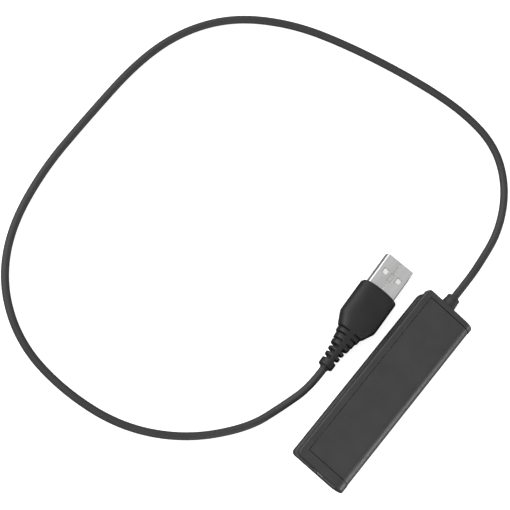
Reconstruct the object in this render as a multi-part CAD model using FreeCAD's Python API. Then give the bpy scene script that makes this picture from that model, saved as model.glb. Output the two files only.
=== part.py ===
"""Wireless network adapter on a USB lead: a flat case with an inlay panel, a free cord and a USB-A plug.

Frame: origin under the middle of the case, on the surface it lies on. +Y points to the end where the
lead leaves, +X to the rounded side of the case, +Z up. Millimetres.
"""
import math
import os

import FreeCAD
import Part
from FreeCAD import Vector

# ---- Case ---------------------------------------------------------------------------------------
CASE_LENGTH = 78.4
CASE_WIDTH = 22.8
CASE_HEIGHT = 9.0
WALL = 1.6               # left side and both ends
SKIN = 0.9               # top, bottom and rounded side, under the inlay
CORNER_RADIUS = 1.6      # upright corners on the flat side
LOWER_CORNER_RADIUS = 3.6   # the lower cover's corner beside the lead
EDGE_ROUND = 0.45
LIP_THICKNESS = 0.6      # rails that line the two covers up
LIP_HALF_LENGTH = 17.0
LIP_ROOT = 0.2           # how far a rail's foot runs into the wall
LIP_FOOT_ABOVE_BOARD = 0.6

# ---- Inlay panel --------------------------------------------------------------------------------
PANEL_THICKNESS = 0.75
PANEL_SINK = 0.15        # how far it lies below the border
SEAT_GAP = 0.05          # air under curved and sliding faces that don't move
SEAM = 0.25              # gap round the panel
BORDER_LEFT = 2.5
BORDER_LEAD_END = 2.1
BORDER_FAR_END = 3.3

# ---- Gloss band in the flat side and the far end --------------------------------------------------
BAND_THICKNESS = 0.9
BAND_LOW_Z = 2.4
BAND_GROOVE_LOW = 0.35
BAND_GROOVE_HIGH = 0.45
BAND_START_GAP = 3.8     # bare stretch beside the lead end
BAND_STOP_GAP = 3.2      # bare stretch before the rounded side

# ---- Window and button in the far end -------------------------------------------------------------
WINDOW_LEFT_GAP = 2.0
WINDOW_LENGTH = 7.6
WINDOW_HEIGHT = 1.3
BUTTON_WINDOW_GAP = 1.3
BUTTON_ABOVE_BOARD = 0.6   # from the board up to the middle of the button
BUTTON_WIDTH = 3.0
BUTTON_HEIGHT = 1.5
BUTTON_CLEARANCE = 0.1
BUTTON_TRAVEL = 0.4
BUTTON_FRONT_ROUND = 0.3
FLANGE_EXTRA = 0.6
FLANGE_THICKNESS = 0.6
PLUNGER_WIDTH = 1.5
PLUNGER_HEIGHT = 0.8
PLUNGER_LENGTH = 1.8
PLUNGER_CLEARANCE = 0.06
PLUNGER_RAISE = 0.2      # its middle above the button's
SWITCH_WIDTH = 4.4
SWITCH_DEPTH = 2.4
SWITCH_HEIGHT = 1.6
PIPE_WIDTH = 2.4
PIPE_LENGTH = 6.5
PIPE_ABOVE_BOARD = 0.7
LED_WIDTH = 0.8
LED_LENGTH = 1.6
LED_HEIGHT = 0.6
LED_BEHIND_WALL = 5.4    # from the end wall to the middle of the light

# ---- Circuit board --------------------------------------------------------------------------------
BOARD_THICKNESS = 1.0
BOARD_BELOW_LEAD = 0.5   # from the middle of the lead down to the board's top
COVERS_ABOVE_BOARD = 2.2   # from the board's top up to where the two covers meet
BOARD_SIDE_GAP = 0.3
BOARD_ROUND_GAP = 1.2    # more beside the rounded wall, which leans in
BOARD_FAR_GAP = 1.3      # room for the button's flange
BOARD_LEAD_GAP = 3.9     # room for the strain relief's flange and the wires
SHIELD_LENGTH = 16.0
SHIELD_WIDTH = 12.6
SHIELD_HEIGHT = 1.5
SHIELD_SHEET = 0.2
SHIELD_LID_GAP = 0.1     # from the board up to the lid's rim
SHIELD_Y = 4.0
POWER_Y = 17.0           # the regulator and its coil
RESISTOR_GAP = 0.9       # from the antennas' ends to the row of resistors
ANTENNA_LENGTH = 13.0
ANTENNA_WIDTH = 2.2
ANTENNA_SHEET = 0.3
ANTENNA_RISE = 1.7       # from the board up to the strip
ANTENNA_LEG_WIDTH = 1.0
ANTENNA_LEG_PITCH = 2.5
ANTENNA_BOSS_GAP = 0.9
CHIP_EDGE_INSET = 2.6    # rows of small chips along the board's edges
CHIP_SIZE = 8.0
CHIP_HEIGHT = 0.9

# ---- Screws and posts -----------------------------------------------------------------------------
SCREW_INSET_LEFT = 4.6
SCREW_INSET_RIGHT = 6.4
SCREW_INSET_FAR = 13.5
SCREW_INSET_LEAD = 12.0
SCREW_HEAD_RADIUS = 1.5
SCREW_HEAD_HEIGHT = 0.7
SCREW_SHANK_RADIUS = 0.85
SCREW_SHANK_LENGTH = 4.2
SCREW_CLEARANCE = 0.1
SCREW_CROSS_LENGTH = 1.8
SCREW_CROSS_WIDTH = 0.4
SCREW_CROSS_DEPTH = 0.35
BOSS_RADIUS = 2.3
POST_RADIUS = 2.0
SHOULDER_RADIUS = 2.9

# ---- Strain relief on the case ----------------------------------------------------------------------
RELIEF_X = -1.1
RELIEF_BASE_WALL = 1.5   # rubber round the cord at the case
RELIEF_TIP_WALL = 1.1   # rubber round the cord at the tip
RELIEF_NECK_WALL = 0.65
RELIEF_LENGTH = 4.8
RELIEF_FLANGE_WIDTH = 7.0
RELIEF_FLANGE_GAP = 0.15
RELIEF_FLANGE_THICKNESS = 1.2

# ---- Cord -------------------------------------------------------------------------------------------
CORD_RADIUS = 1.45
WIRE_RADIUS = 0.42
WIRE_COUNT = 4
PAD_PITCH = 1.8
WIRE_PITCH = 1.0
JOINT_EDGE_GAP = 2.0
JOINT_SIZE = 1.2
JOINT_HEIGHT = 0.95
CORD_ROUTE = [
    (-1.1, 44.0, 4.5),
    (-1.1, 51.0, 4.5),
    (-0.8, 60.6, 1.6),
    (-2.9, 76.6, 1.45),
    (-11.3, 91.3, 1.45),
    (-24.6, 100.5, 1.45),
    (-42.8, 101.8, 1.45),
    (-65.4, 97.6, 1.45),
    (-91.6, 89.9, 1.45),
    (-111.8, 81.5, 1.45),
    (-129.4, 68.3, 1.45),
    (-140.3, 51.2, 1.45),
    (-145.3, 30.8, 1.45),
    (-145.4, 2.1, 1.45),
    (-144.7, -22.8, 1.45),
    (-139.4, -46.5, 1.45),
    (-128.0, -63.5, 1.45),
    (-110.2, -74.2, 1.45),
    (-88.4, -76.6, 1.45),
    (-64.7, -72.9, 1.45),
    (-44.4, -61.1, 1.45),
    (-29.4, -43.1, 1.45),
    (-24.6, -28.6, 1.45),
    (-21.8, -17.2, 4.0),
    (-22.25, -8.75, 4.0),
]

# ---- USB-A plug, in its own frame: y = 0 at the cord, +y to the tip, z = 0 in its middle --------------
PLUG_TURN = 3.1          # degrees from the case's long axis
SHELL_WIDTH = 12.0
SHELL_HEIGHT = 4.5
SHELL_SHEET = 0.3
SHELL_CORNER = 0.6
SHELL_LENGTH = 18.75
SHELL_EXPOSED = 12.7
SHELL_HOLE = 2.3
SHELL_HOLE_X = 3.0
SHELL_HOLE_FROM_TIP = 6.2
SHELL_SEAM = 0.22
SHELL_SEAM_DEPTH = 0.12
SHELL_TAIL_FROM_TIP = (8.6, 5.2)   # the dovetail in the seam
SHELL_TAIL_HALF = 0.95
BOOT_SIDE = 1.1          # grip rubber outside the hard inner mould
BOOT_FACE = 0.9
BOOT_CORNER = 2.3
BOOT_FRONT_ROUND = 0.7
BOOT_LENGTH = 35.8
BOOT_BODY_LENGTH = 14.4
BOOT_WAIST_Y = 16.3
BOOT_WAIST_WIDTH = 10.1
BOOT_WAIST_HEIGHT = 7.2
BOOT_MIDDLE_Y = 10.2
BOOT_MIDDLE_WIDTH = 7.3
BOOT_MIDDLE_HEIGHT = 6.3
BOOT_COLLAR_WALL = 1.45
BOOT_COLLAR_START = 0.6
BOOT_COLLAR_END = 3.35
BOOT_TAIL_WALL = 0.3
BOOT_SPINE_WALL = 0.2
BOOT_SLOTS = ((3.35, 4.7), (5.9, 7.1), (8.2, 9.4))   # cut in to the spine
BOOT_GROOVES = ((11.1, 11.7, 3.0), (13.65, 14.15, 3.5), (15.8, 16.3, 4.1))   # start, end, half width left
MOULD_SIDE = 0.6         # hard mould outside the steel sleeve
MOULD_FACE = 0.85
MOULD_CORNER = 1.4
MOULD_FRONT_GAP = 1.2
MOULD_LENGTH = 12.3
POCKET_SIDE = 1.0        # air beside the outer contacts' tails
POCKET_HEIGHT = 3.0
POCKET_REAR_WALL = 1.4
TONGUE_TIP_GAP = 1.5
INSULATOR_BLOCK_LENGTH = 7.1
INSULATOR_GAP = 0.05
CONTACT_WIDTH = 1.0
CONTACT_SHEET = 0.2
CONTACT_TAIL = 1.2
POWER_CONTACT_X = 3.5
DATA_CONTACT_X = 1.0
POWER_CONTACT_TIP_GAP = 2.6
DATA_CONTACT_TIP_GAP = 3.6

# ---- Values that follow from the ones above -----------------------------------------------------------
LEFT = -CASE_WIDTH / 2
RIGHT = CASE_WIDTH / 2
FAR_END = -CASE_LENGTH / 2
LEAD_END = CASE_LENGTH / 2
ROUND_X = RIGHT - CASE_HEIGHT / 2
PANEL_DEPTH = PANEL_SINK + PANEL_THICKNESS + SEAT_GAP
INNER_OFFSET = PANEL_DEPTH + SKIN
RELIEF_Z = CASE_HEIGHT / 2
BOARD_TOP_Z = RELIEF_Z - BOARD_BELOW_LEAD
BOARD_BOTTOM_Z = BOARD_TOP_Z - BOARD_THICKNESS
PARTING_Z = BOARD_TOP_Z + COVERS_ABOVE_BOARD
WINDOW_HIGH_Z = PARTING_Z - BAND_GROOVE_HIGH
WINDOW_LOW_Z = WINDOW_HIGH_Z - WINDOW_HEIGHT
BUTTON_X = LEFT + WINDOW_LEFT_GAP + WINDOW_LENGTH + BUTTON_WINDOW_GAP + BUTTON_WIDTH / 2
BUTTON_Z = BOARD_TOP_Z + BUTTON_ABOVE_BOARD
SCREW_SEAT_Z = CASE_HEIGHT - PANEL_DEPTH - SCREW_HEAD_HEIGHT
SCREW_X = (LEFT + SCREW_INSET_LEFT, RIGHT - SCREW_INSET_RIGHT)
SCREW_Y = (FAR_END + SCREW_INSET_FAR, LEAD_END - SCREW_INSET_LEAD)
ANTENNA_END_Y = SCREW_Y[0] + BOSS_RADIUS + ANTENNA_BOSS_GAP + ANTENNA_LENGTH
RESISTOR_Y = ANTENNA_END_Y + RESISTOR_GAP
RELIEF_BASE_RADIUS = CORD_RADIUS + RELIEF_BASE_WALL
RELIEF_TIP_RADIUS = CORD_RADIUS + RELIEF_TIP_WALL
RELIEF_NECK_RADIUS = CORD_RADIUS + RELIEF_NECK_WALL
RELIEF_FLANGE_HEIGHT = CASE_HEIGHT - 2 * (INNER_OFFSET + RELIEF_FLANGE_GAP)
MOULD_WIDTH = SHELL_WIDTH + 2 * MOULD_SIDE
MOULD_HEIGHT = SHELL_HEIGHT + 2 * MOULD_FACE
BOOT_WIDTH = MOULD_WIDTH + 2 * BOOT_SIDE
BOOT_HEIGHT = MOULD_HEIGHT + 2 * BOOT_FACE
BOOT_COLLAR_RADIUS = CORD_RADIUS + BOOT_COLLAR_WALL
BOOT_TAIL_RADIUS = CORD_RADIUS + BOOT_TAIL_WALL
BOOT_SPINE_HALF = CORD_RADIUS + BOOT_SPINE_WALL
POCKET_WIDTH = 2 * (POWER_CONTACT_X + CONTACT_WIDTH / 2 + POCKET_SIDE)
BOOT_FRONT = BOOT_LENGTH
PLUG_TIP = BOOT_FRONT + SHELL_EXPOSED
SHELL_REAR = PLUG_TIP - SHELL_LENGTH
TOL = 1e-4


def box(x0, x1, y0, y1, z0, z1):
    """A box between two values on each axis."""
    return Part.makeBox(x1 - x0, y1 - y0, z1 - z0, Vector(x0, y0, z0))


def centred_box(x, y, z_low, width, length, height):
    """A box standing on z_low, centred on x and y."""
    return box(x - width / 2, x + width / 2, y - length / 2, y + length / 2, z_low, z_low + height)


def rod(radius, start, end):
    """A round bar between two points."""
    start = Vector(*start)
    run = Vector(*end) - start
    return Part.makeCylinder(radius, run.Length, start, run)


def upright(radius, x, y, z0, z1):
    """A round post between two heights."""
    return rod(radius, (x, y, z0), (x, y, z1))


def fuse_all(solids):
    """One solid from several that overlap or touch."""
    result = solids[0]
    for solid in solids[1:]:
        result = result.fuse(solid)
    return result.removeSplitter()


def case_prism(offset, left_x, y0, y1):
    """The case's section, flat on the left and half-round on the right, drawn in by offset."""
    low = offset
    high = CASE_HEIGHT - offset
    middle = CASE_HEIGHT / 2
    radius = middle - offset
    corners = [
        Vector(ROUND_X, y0, high),
        Vector(left_x, y0, high),
        Vector(left_x, y0, low),
        Vector(ROUND_X, y0, low),
    ]
    edges = [Part.makeLine(corners[i], corners[i + 1]) for i in range(3)]
    edges.append(Part.Arc(corners[3], Vector(ROUND_X + radius, y0, middle), corners[0]).toShape())
    return Part.Face(Part.Wire(edges)).extrude(Vector(0, y1 - y0, 0))


def is_upright(edge):
    bounds = edge.BoundBox
    return bounds.XLength < TOL and bounds.YLength < TOL


def is_sharp_outline(edge):
    """True on the edges round the top, the bottom and the two end faces."""
    bounds = edge.BoundBox
    if is_upright(edge):
        return False
    if bounds.XLength < TOL and bounds.ZLength < TOL and abs(bounds.XMin - ROUND_X) < TOL:
        return False
    on_end = bounds.YLength < TOL and abs(abs(bounds.YMin) - LEAD_END) < TOL
    on_face = bounds.ZLength < TOL and min(abs(bounds.ZMin), abs(bounds.ZMin - CASE_HEIGHT)) < TOL
    return on_end or on_face


def case_body(lead_corner):
    """The whole outside of the case, with rounded corners and edges."""
    body = case_prism(0, LEFT, FAR_END, LEAD_END)
    uprights = [e for e in body.Edges if is_upright(e) and abs(e.BoundBox.XMin - LEFT) < TOL]
    far_corner = [e for e in uprights if e.BoundBox.YMin < 0]
    body = body.makeFillet(CORNER_RADIUS, far_corner)
    near_corner = [e for e in body.Edges if is_upright(e)
                   and abs(e.BoundBox.XMin - LEFT) < TOL and abs(e.BoundBox.YMin - LEAD_END) < TOL]
    body = body.makeFillet(lead_corner, near_corner)
    return body.makeFillet(EDGE_ROUND, [e for e in body.Edges if is_sharp_outline(e)])


def cavity():
    return case_prism(INNER_OFFSET, LEFT + WALL, FAR_END + WALL, LEAD_END - WALL)


def panel_recess():
    """What the inlay's bed takes out of the covers."""
    around = box(LEFT + BORDER_LEFT, RIGHT + 1, FAR_END + BORDER_FAR_END, LEAD_END - BORDER_LEAD_END,
                 -1, CASE_HEIGHT + 1)
    return around.cut(case_prism(PANEL_DEPTH, LEFT, FAR_END, LEAD_END))


def make_wrap_panel():
    y0 = FAR_END + BORDER_FAR_END + SEAM
    y1 = LEAD_END - BORDER_LEAD_END - SEAM
    outside = case_prism(PANEL_SINK, LEFT + BORDER_LEFT + SEAM, y0, y1)
    inside = case_prism(PANEL_SINK + PANEL_THICKNESS, LEFT, y0 - 1, y1 + 1)
    return outside.cut(inside)


def band_zone(body, depth, z0, z1):
    """The outermost layer of the case along the flat side and across the far end."""
    reach = box(LEFT - 1, RIGHT - BAND_STOP_GAP, FAR_END - 1, LEAD_END - BAND_START_GAP, z0, z1)
    core = box(LEFT + depth, RIGHT + 1, FAR_END + depth, LEAD_END + 1, z0 - 1, z1 + 1)
    corner = [e for e in core.Edges if is_upright(e) and abs(e.BoundBox.XMin - LEFT - depth) < TOL
              and abs(e.BoundBox.YMin - FAR_END - depth) < TOL]
    core = core.makeFillet(CORNER_RADIUS - depth, corner)
    return body.common(reach).cut(core)


def window_hole(gap):
    x0 = LEFT + WINDOW_LEFT_GAP
    return box(x0 - gap, x0 + WINDOW_LENGTH + gap, FAR_END - 1, FAR_END + WALL + 1,
               WINDOW_LOW_Z - gap, WINDOW_HIGH_Z)


def button_block(gap, y0, y1):
    """A stretch of the button's section along y, wider all round by gap."""
    return box(BUTTON_X - BUTTON_WIDTH / 2 - gap, BUTTON_X + BUTTON_WIDTH / 2 + gap, y0, y1,
               BUTTON_Z - BUTTON_HEIGHT / 2 - gap, BUTTON_Z + BUTTON_HEIGHT / 2 + gap)


def relief_neck(gap):
    return rod(RELIEF_NECK_RADIUS + gap, (RELIEF_X, LEAD_END - WALL - 1, RELIEF_Z),
               (RELIEF_X, LEAD_END + 1, RELIEF_Z))


def screw_places():
    return [(x, y) for x in SCREW_X for y in SCREW_Y]


def make_top_cover():
    body = case_body(CORNER_RADIUS)
    cover = body.common(box(LEFT - 1, RIGHT + 1, FAR_END - 1, LEAD_END + 1, PARTING_Z, CASE_HEIGHT + 1))
    cover = cover.cut(cavity())
    bosses = [upright(BOSS_RADIUS, x, y, PARTING_Z, CASE_HEIGHT - PANEL_DEPTH) for x, y in screw_places()]
    bosses = [boss.common(body) for boss in bosses]
    cover = fuse_all([cover] + bosses)
    cover = cover.cut(panel_recess())
    for x, y in screw_places():
        cover = cover.cut(upright(SCREW_HEAD_RADIUS + SCREW_CLEARANCE, x, y, SCREW_SEAT_Z, CASE_HEIGHT + 1))
        cover = cover.cut(upright(SCREW_SHANK_RADIUS + SCREW_CLEARANCE, x, y, PARTING_Z - 1, CASE_HEIGHT + 1))
    return cover.cut(relief_neck(SEAT_GAP))


def make_lip_rails():
    """Two rails on the lower cover that reach up inside the upper one and line the two up."""
    x_wall = LEFT + WALL
    ceiling = CASE_HEIGHT - INNER_OFFSET
    foot = box(x_wall - LIP_ROOT, x_wall + LIP_THICKNESS, -LIP_HALF_LENGTH, LIP_HALF_LENGTH,
               BOARD_TOP_Z + LIP_FOOT_ABOVE_BOARD, PARTING_Z)
    tongue = box(x_wall + SEAT_GAP, x_wall + LIP_THICKNESS, -LIP_HALF_LENGTH, LIP_HALF_LENGTH,
                 PARTING_Z, (PARTING_Z + ceiling) / 2)
    return foot.fuse(tongue)


def make_bottom_cover():
    body = case_body(LOWER_CORNER_RADIUS)
    cover = body.common(box(LEFT - 1, RIGHT + 1, FAR_END - 1, LEAD_END + 1, -1, PARTING_Z))
    cover = cover.cut(band_zone(body, BAND_THICKNESS + SEAT_GAP, BAND_LOW_Z, PARTING_Z + 1))
    cover = cover.cut(cavity())
    posts = [make_lip_rails()]
    for x, y in screw_places():
        posts.append(upright(SHOULDER_RADIUS, x, y, PANEL_DEPTH, BOARD_BOTTOM_Z))
        posts.append(upright(POST_RADIUS, x, y, PANEL_DEPTH, PARTING_Z))
    cover = fuse_all([cover] + posts)
    cover = cover.cut(panel_recess())
    for x, y in screw_places():
        pilot_low = SCREW_SEAT_Z - SCREW_SHANK_LENGTH - SCREW_CLEARANCE
        cover = cover.cut(upright(SCREW_SHANK_RADIUS, x, y, pilot_low, PARTING_Z + 1))
    cover = cover.cut(window_hole(0))
    cover = cover.cut(button_block(BUTTON_CLEARANCE, FAR_END - 1, FAR_END + WALL + 1))
    return cover.cut(relief_neck(SEAT_GAP))


def make_side_band():
    body = case_body(LOWER_CORNER_RADIUS)
    band = band_zone(body, BAND_THICKNESS, BAND_LOW_Z + BAND_GROOVE_LOW, PARTING_Z - BAND_GROOVE_HIGH)
    band = band.cut(window_hole(0))
    return band.cut(button_block(BUTTON_CLEARANCE, FAR_END - 1, FAR_END + WALL + 1))


def make_led_window():
    x0 = LEFT + WINDOW_LEFT_GAP
    return box(x0, x0 + WINDOW_LENGTH, FAR_END, FAR_END + WALL, WINDOW_LOW_Z, WINDOW_HIGH_Z)


def make_light_pipe():
    middle = LEFT + WINDOW_LEFT_GAP + WINDOW_LENGTH / 2
    return box(middle - PIPE_WIDTH / 2, middle + PIPE_WIDTH / 2, FAR_END + WALL,
               FAR_END + WALL + PIPE_LENGTH, BOARD_TOP_Z + PIPE_ABOVE_BOARD, WINDOW_HIGH_Z)


def make_link_led():
    middle = LEFT + WINDOW_LEFT_GAP + WINDOW_LENGTH / 2
    return centred_box(middle, FAR_END + WALL + LED_BEHIND_WALL, BOARD_TOP_Z,
                       LED_WIDTH, LED_LENGTH, LED_HEIGHT)


def make_wps_button():
    front = button_block(0, FAR_END, FAR_END + WALL)
    front_edges = [e for e in front.Edges if abs(e.BoundBox.YMax - FAR_END) < TOL]
    front = front.makeFillet(BUTTON_FRONT_ROUND, front_edges)
    flange = button_block(FLANGE_EXTRA, FAR_END + WALL, FAR_END + WALL + FLANGE_THICKNESS)
    return fuse_all([front, flange])


def plunger_block(gap, y0, y1):
    return box(BUTTON_X - PLUNGER_WIDTH / 2 - gap, BUTTON_X + PLUNGER_WIDTH / 2 + gap, y0, y1,
               BUTTON_Z + PLUNGER_RAISE - PLUNGER_HEIGHT / 2 - gap,
               BUTTON_Z + PLUNGER_RAISE + PLUNGER_HEIGHT / 2 + gap)


def plunger_start():
    return FAR_END + WALL + FLANGE_THICKNESS


def make_switch_plunger():
    return plunger_block(0, plunger_start(), plunger_start() + PLUNGER_LENGTH)


def make_switch_body():
    front = FAR_END + WALL + BOARD_FAR_GAP
    body = box(BUTTON_X - SWITCH_WIDTH / 2, BUTTON_X + SWITCH_WIDTH / 2, front, front + SWITCH_DEPTH,
               BOARD_TOP_Z, BOARD_TOP_Z + SWITCH_HEIGHT)
    bore_end = plunger_start() + PLUNGER_LENGTH + BUTTON_TRAVEL + PLUNGER_CLEARANCE
    return body.cut(plunger_block(PLUNGER_CLEARANCE, front - 1, bore_end))


def make_main_board():
    right_x = RIGHT - INNER_OFFSET - BOARD_ROUND_GAP
    board = box(LEFT + WALL + BOARD_SIDE_GAP, right_x, FAR_END + WALL + BOARD_FAR_GAP,
                LEAD_END - WALL - BOARD_LEAD_GAP, BOARD_BOTTOM_Z, BOARD_TOP_Z)
    for x, y in screw_places():
        board = board.cut(upright(POST_RADIUS + SCREW_CLEARANCE, x, y, 0, CASE_HEIGHT))
    return board


def make_wifi_chip():
    return centred_box(0, SHIELD_Y, BOARD_TOP_Z, CHIP_SIZE, CHIP_SIZE, CHIP_HEIGHT)


def tray(width, length, height, sheet, z_low, floor_above):
    """A sheet-metal tray over the shield's place: four walls, and a roof if floor_above is set."""
    outer = centred_box(0, SHIELD_Y, z_low, width, length, height)
    roof = sheet if floor_above else 0
    inner = centred_box(0, SHIELD_Y, z_low - 1, width - 2 * sheet, length - 2 * sheet, height + 1 - roof)
    if not floor_above:
        inner = inner.fuse(inner.translated(Vector(0, 0, 2)))
    return outer.cut(inner)


def make_shield_frame():
    frame_height = SHIELD_HEIGHT - SHIELD_SHEET - SEAT_GAP
    return tray(SHIELD_WIDTH, SHIELD_LENGTH, frame_height, SHIELD_SHEET, BOARD_TOP_Z, False)


def make_shield_lid():
    grow = 2 * (SHIELD_SHEET + SEAT_GAP)
    return tray(SHIELD_WIDTH + grow, SHIELD_LENGTH + grow, SHIELD_HEIGHT, SHIELD_SHEET,
                BOARD_TOP_Z + SHIELD_LID_GAP, True)


def make_crystal():
    return centred_box(0, SHIELD_Y + CHIP_SIZE / 2 + 1.8, BOARD_TOP_Z, 2.5, 2.0, 0.6)


def make_regulator_chip():
    return centred_box(-4.2, POWER_Y, BOARD_TOP_Z, 3.0, 3.0, CHIP_HEIGHT)


def make_power_inductor():
    coil = centred_box(0.8, POWER_Y, BOARD_TOP_Z, 4.0, 4.0, 1.8)
    return coil.makeFillet(0.5, [e for e in coil.Edges if is_upright(e)])


def chip_row(places, width, length, height):
    chips = [centred_box(x, y, BOARD_TOP_Z, width, length, height) for x, y in places]
    return Part.makeCompound(chips)


def make_chip_capacitors():
    places = [(-7.4 + 1.9 * i, POWER_Y + 4.2) for i in range(3)]
    places += [(4.6, POWER_Y - 2.6 + 2.0 * i) for i in range(4)]
    return chip_row(places, 0.8, 1.6, 0.8)


def make_chip_resistors():
    edge_x = RIGHT - INNER_OFFSET - CHIP_EDGE_INSET
    places = [(-5.0 + 1.3 * i, RESISTOR_Y) for i in range(8)]
    places += [(edge_x, SHIELD_Y - 6.0 + 1.9 * i) for i in range(5)]
    return chip_row(places, 0.5, 1.0, 0.35)


def make_antenna(x):
    """A stamped strip on two legs, folded up from the board."""
    strip_z = BOARD_TOP_Z + ANTENNA_RISE
    half = ANTENNA_WIDTH / 2
    strip = box(x - half, x + half, ANTENNA_END_Y - ANTENNA_LENGTH, ANTENNA_END_Y,
                strip_z, strip_z + ANTENNA_SHEET)
    legs = []
    for back in (0, ANTENNA_LEG_PITCH):
        leg_y = ANTENNA_END_Y - ANTENNA_SHEET / 2 - back
        legs.append(centred_box(x, leg_y, BOARD_TOP_Z, ANTENNA_LEG_WIDTH, ANTENNA_SHEET, ANTENNA_RISE))
    return fuse_all([strip] + legs)


def make_case_screws():
    screws = []
    for x, y in screw_places():
        head = upright(SCREW_HEAD_RADIUS, x, y, SCREW_SEAT_Z, SCREW_SEAT_Z + SCREW_HEAD_HEIGHT)
        cross_z = SCREW_SEAT_Z + SCREW_HEAD_HEIGHT - SCREW_CROSS_DEPTH
        cross = centred_box(x, y, cross_z, SCREW_CROSS_LENGTH, SCREW_CROSS_WIDTH, 1).fuse(
            centred_box(x, y, cross_z, SCREW_CROSS_WIDTH, SCREW_CROSS_LENGTH, 1))
        shank = upright(SCREW_SHANK_RADIUS, x, y, SCREW_SEAT_Z - SCREW_SHANK_LENGTH, SCREW_SEAT_Z)
        screws.append(fuse_all([head, shank]).cut(cross))
    return Part.makeCompound(screws)


def make_strain_relief():
    inner_face = LEAD_END - WALL
    collar = Part.makeCone(RELIEF_BASE_RADIUS, RELIEF_TIP_RADIUS, RELIEF_LENGTH,
                           Vector(RELIEF_X, LEAD_END, RELIEF_Z), Vector(0, 1, 0))
    neck = rod(RELIEF_NECK_RADIUS, (RELIEF_X, inner_face, RELIEF_Z), (RELIEF_X, LEAD_END, RELIEF_Z))
    flange = centred_box(RELIEF_X, inner_face - RELIEF_FLANGE_THICKNESS / 2,
                         RELIEF_Z - RELIEF_FLANGE_HEIGHT / 2,
                         RELIEF_FLANGE_WIDTH, RELIEF_FLANGE_THICKNESS, RELIEF_FLANGE_HEIGHT)
    return fuse_all([collar, neck, flange])


def joint_y():
    """Where the middle of the solder joints lies along the board."""
    return LEAD_END - WALL - BOARD_LEAD_GAP - JOINT_EDGE_GAP


def make_board_wire(index):
    place = index - (WIRE_COUNT - 1) / 2
    start = (RELIEF_X + place * WIRE_PITCH, LEAD_END - WALL - RELIEF_FLANGE_THICKNESS, RELIEF_Z)
    end = (RELIEF_X + place * PAD_PITCH, joint_y(), RELIEF_Z)
    return rod(WIRE_RADIUS, start, end).cut(make_strain_relief()).cut(make_solder_joints())


def make_solder_joints():
    joints = []
    for index in range(WIRE_COUNT):
        x = RELIEF_X + (index - (WIRE_COUNT - 1) / 2) * PAD_PITCH
        joint = centred_box(x, joint_y(), BOARD_TOP_Z, JOINT_SIZE, JOINT_SIZE, JOINT_HEIGHT)
        top = [e for e in joint.Edges if abs(e.BoundBox.ZMin - joint.BoundBox.ZMax) < TOL]
        joints.append(joint.makeFillet(0.3, top))
    return Part.makeCompound(joints)


# ---- Cord -------------------------------------------------------------------------------------------
def cord_path():
    """Straight runs joined by tangent arcs, each as large as its two runs allow."""
    points = [Vector(*point) for point in CORD_ROUTE]
    edges = []
    here = points[0]
    for before, corner, after in zip(points, points[1:], points[2:]):
        run_in = corner - before
        run_out = after - corner
        tangent = 0.45 * min(run_in.Length, run_out.Length)
        half_turn = run_in.getAngle(run_out) / 2
        radius = tangent / math.tan(half_turn)
        way_in = Vector(run_in).normalize()
        way_out = Vector(run_out).normalize()
        arc_start = corner - way_in * tangent
        arc_end = corner + way_out * tangent
        inward = (way_out - way_in).normalize()
        arc_middle = corner + inward * (radius / math.cos(half_turn) - radius)
        edges.append(Part.LineSegment(here, arc_start).toShape())
        edges.append(Part.Arc(arc_start, arc_middle, arc_end).toShape())
        here = arc_end
        print("cord: turn %.1f degrees, radius %.1f mm" % (math.degrees(2 * half_turn), radius))
    edges.append(Part.LineSegment(here, points[-1]).toShape())
    return Part.Wire(edges)


def make_cable_jacket():
    path = cord_path()
    start = Vector(*CORD_ROUTE[0])
    way = Vector(*CORD_ROUTE[1]) - start
    circle = Part.Wire(Part.makeCircle(CORD_RADIUS, start, way))
    tube = path.makePipeShell([circle], True, False)
    expected = math.pi * CORD_RADIUS ** 2 * path.Length
    print("cord: length %.1f mm, volume %.1f mm3, section times length %.1f mm3"
          % (path.Length, tube.Volume, expected))
    return tube


# ---- Plug -------------------------------------------------------------------------------------------
def place_plug(shape):
    """From the plug's own frame to the case's."""
    tail_x, tail_y, _ = CORD_ROUTE[-1]
    turned = shape.rotated(Vector(0, 0, 0), Vector(0, 0, 1), PLUG_TURN)
    return turned.translated(Vector(tail_x, tail_y, BOOT_HEIGHT / 2))


def rounded_wire(width, height, corner, y):
    """A rounded rectangle across the plug's axis."""
    half_w = width / 2
    half_h = height / 2
    kx = half_w - corner
    kz = half_h - corner
    turn = corner * math.sqrt(0.5)
    edges = []
    corners = [(kx, kz, 1, 1), (-kx, kz, -1, 1), (-kx, -kz, -1, -1), (kx, -kz, 1, -1)]
    for index, (cx, cz, sx, sz) in enumerate(corners):
        side = Vector(cx + sx * corner, y, cz)
        cap = Vector(cx, y, cz + sz * corner)
        middle = Vector(cx + sx * turn, y, cz + sz * turn)
        first, last = (side, cap) if index % 2 == 0 else (cap, side)
        edges.append(Part.Arc(first, middle, last).toShape())
    wire_edges = []
    for index, edge in enumerate(edges):
        following = edges[(index + 1) % 4]
        wire_edges.append(edge)
        gap_start = edge.lastVertex().Point
        gap_end = following.firstVertex().Point
        if gap_start.distanceToPoint(gap_end) > TOL:
            wire_edges.append(Part.makeLine(gap_start, gap_end))
    return Part.Wire(wire_edges)


def rounded_block(width, height, corner, y0, y1):
    return Part.Face(rounded_wire(width, height, corner, y0)).extrude(Vector(0, y1 - y0, 0))


def ring_slots():
    """Side cuts: the first leave rings on a central spine, the others are shallow grooves."""
    reach = BOOT_WIDTH
    slots = []
    cuts = [(y0, y1, BOOT_SPINE_HALF) for y0, y1 in BOOT_SLOTS] + list(BOOT_GROOVES)
    for y0, y1, half in cuts:
        slots.append(box(half, reach, y0, y1, -BOOT_HEIGHT, BOOT_HEIGHT))
        slots.append(box(-reach, -half, y0, y1, -BOOT_HEIGHT, BOOT_HEIGHT))
    return Part.makeCompound(slots)


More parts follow.
